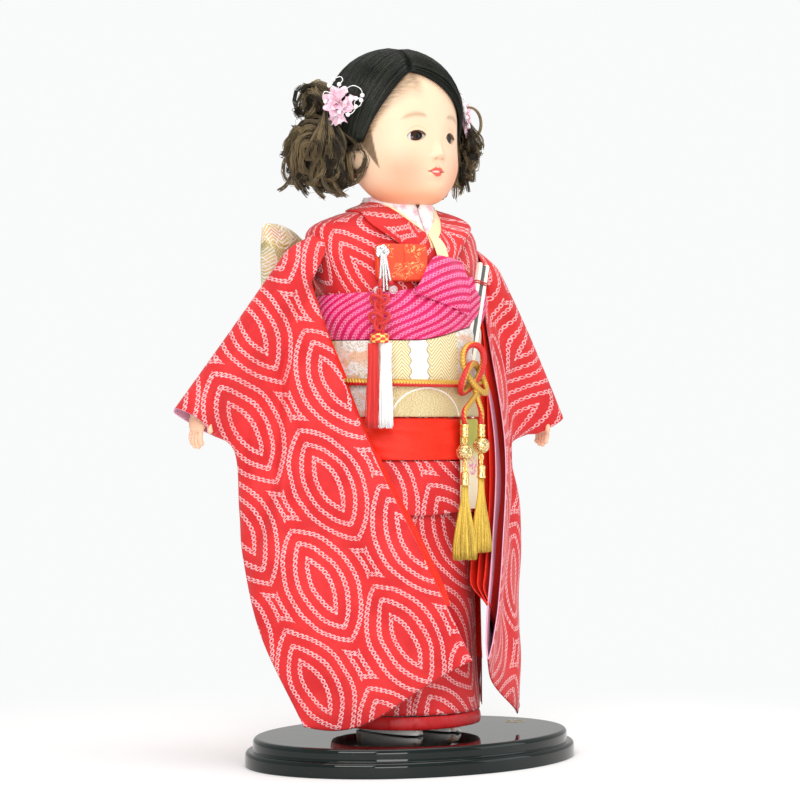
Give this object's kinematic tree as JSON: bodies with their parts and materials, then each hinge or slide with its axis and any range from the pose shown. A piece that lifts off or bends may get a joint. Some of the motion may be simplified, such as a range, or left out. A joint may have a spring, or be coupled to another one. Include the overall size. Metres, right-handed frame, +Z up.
{
  "type": "ichimatsu doll",
  "caption": "Standing play doll in a long-sleeved tie-dyed kimono with obi, sash, tasselled trim and curled hair, pegged to an oval lacquer board.",
  "frame": {"origin": "middle of the lacquer board's underside", "axes": "+Z up the standing doll, -Y the way the doll faces, +X to the doll's left"},
  "size_m": [0.3, 0.163, 0.4304],
  "materials": {
    "lacquer": "black urushi-style gloss lacquer over turned wood",
    "bare_wood": "plain carved wood",
    "skin": "moulded wood paste with a burnished shell-white coat, tinted peach",
    "steel": "plain drawn wire",
    "cotton": "cotton wadding",
    "white_cloth": "plain white silk",
    "kimono_silk": "red crepe silk, tie-dyed in small rings",
    "scarlet_silk": "scarlet silk",
    "brocade": "gold and cream figured brocade",
    "pink_silk": "magenta tie-dyed silk",
    "cream_cloth": "cream and gold cloth",
    "gold": "gilt",
    "gold_thread": "gold silk thread",
    "silver": "polished silver-coloured metal",
    "black_hair": "combed black fibre",
    "brown_hair": "curled dark brown fibre",
    "glass_eye": "dark glass, polished",
    "pink_flower": "pink crepe petals with white beads on wire",
    "paper": "bare card with a flower-coloured edge",
    "fan_lacquer": "black lacquered sticks with a pale leaf"
  },
  "bodies": {
    "stand": {"stand": "lacquer", "right_stand_peg": "bare_wood", "left_stand_peg": "bare_wood"},
    "figure": {"right_tabi": "white_cloth", "left_tabi": "white_cloth", "right_leg": "skin", "left_leg": "skin", "body_core": "bare_wood", "right_shoulder_pin": "steel", "left_shoulder_pin": "steel", "hip_wadding": "cotton", "kimono": "kimono_silk", "under_kimono": "scarlet_silk", "hem_roll": "scarlet_silk", "waist_tuck": "kimono_silk", "sash": "scarlet_silk", "sash_tail": "scarlet_silk", "obi": "brocade", "scarf": "pink_silk", "scarf_fold": "pink_silk", "obi_cord": "scarlet_silk", "collar": "kimono_silk", "accent_collar": "cream_cloth", "under_collar": "white_cloth", "wallet": "brocade", "silver_charm": "silver", "right_bow_wing": "brocade", "left_bow_wing": "brocade", "bow_knot": "brocade", "bow_tail": "brocade"},
    "head": {"head": "skin", "right_eye": "glass_eye", "left_eye": "glass_eye", "neck_peg": "bare_wood", "hair_cap": "black_hair", "right_bunch": "brown_hair", "left_bunch": "brown_hair", "right_flower": "pink_flower", "left_flower": "pink_flower"},
    "right_arm": {"right_arm_wire": "steel", "right_upper_arm": "cotton", "right_hand": "skin", "right_sleeve": "kimono_silk", "right_inner_sleeve": "scarlet_silk"},
    "left_arm": {"left_arm_wire": "steel", "left_upper_arm": "cotton", "left_hand": "skin", "left_sleeve": "kimono_silk", "left_inner_sleeve": "scarlet_silk"},
    "fan": {"fan": "fan_lacquer"},
    "wallet_tassels": {"wallet_cord": "scarlet_silk", "red_tassel": "scarlet_silk", "white_tassel": "white_cloth"},
    "right_charm": {"right_gold_charm": "gold", "right_gold_tassel": "gold_thread"},
    "left_charm": {"left_gold_charm": "gold", "left_gold_tassel": "gold_thread"},
    "tag": {"tag": "paper"}
  },
  "joints": [
    {"name": "lift_off", "type": "slide", "parent": "stand", "child": "figure", "axis": [0, 0, 1], "range_m": [0, 0.03]},
    {"name": "head_turn", "type": "hinge", "parent": "figure", "child": "head", "pos_m": [0, 0.015, 0.33185], "axis": [0, 0, 1], "range_deg": [-20, 20]},
    {"name": "right_arm_raise", "type": "hinge", "parent": "figure", "child": "right_arm", "pos_m": [-0.048, 0.02, 0.313], "axis": [0, 1, 0], "range_deg": [0, 15]},
    {"name": "left_arm_raise", "type": "hinge", "parent": "figure", "child": "left_arm", "pos_m": [0.048, 0.02, 0.313], "axis": [0, -1, 0], "range_deg": [0, 15]},
    {"name": "fan_slide", "type": "slide", "parent": "figure", "child": "fan", "axis": [0.2469, 0.0603, 0.9672], "range_m": [0, 0.04]},
    {"name": "wallet_tassel_swing", "type": "hinge", "parent": "figure", "child": "wallet_tassels", "pos_m": [-0.04565, -0.02451, 0.2816], "axis": [-0.7385, 0.6743, 0], "range_deg": [0, 30]},
    {"name": "right_charm_swing", "type": "hinge", "parent": "figure", "child": "right_charm", "pos_m": [0.00318, -0.04446, 0.20223], "axis": [-0.9988, -0.05, 0], "range_deg": [0, 30]},
    {"name": "left_charm_swing", "type": "hinge", "parent": "figure", "child": "left_charm", "pos_m": [0.01818, -0.04216, 0.20223], "axis": [-0.9582, -0.286, 0], "range_deg": [0, 30]},
    {"name": "tag_swing", "type": "hinge", "parent": "figure", "child": "tag", "pos_m": [0.01867, -0.03078, 0.2021], "axis": [0.3523, -0.9359, 0], "range_deg": [-6, 6]}
  ]
}
